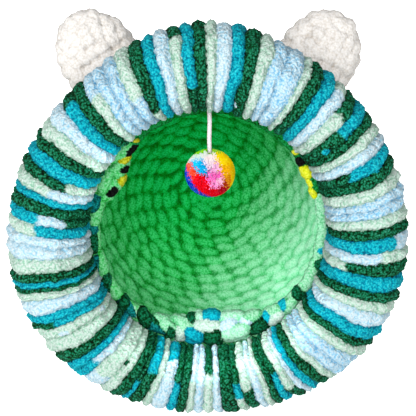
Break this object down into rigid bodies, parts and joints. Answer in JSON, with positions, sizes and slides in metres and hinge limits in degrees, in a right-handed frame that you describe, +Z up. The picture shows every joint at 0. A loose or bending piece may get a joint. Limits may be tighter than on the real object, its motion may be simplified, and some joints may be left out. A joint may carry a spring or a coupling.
{
  "type": "knitted cat cave",
  "caption": "Round knitted cat cave with a fat striped ribbed brim round its mouth, a green pouch worked in rounds, white ears and a pompom on a cord.",
  "frame": {"origin": "on the floor under the middle of the cave's box", "axes": "+Z up, the mouth faces -Y, +X to the right of someone who looks into the mouth"},
  "size_m": [0.42, 0.3281, 0.4249],
  "materials": {
    "striped_yarn": "plush yarn in dark green, teal, pale blue, sky and mint ribs",
    "green_yarn": "plush yarn, bright green",
    "white_yarn": "plush yarn, warm white",
    "white_cord": "white twisted cord",
    "pompom_wool": "trimmed wool in patches of many colours"
  },
  "bodies": {
    "root": {"brim": "striped_yarn", "joining_round": "striped_yarn", "cave_body": "green_yarn", "ear_left": "white_yarn", "ear_right": "white_yarn", "pompom_cord": "white_cord", "pompom": "pompom_wool"}
  },
  "joints": []
}
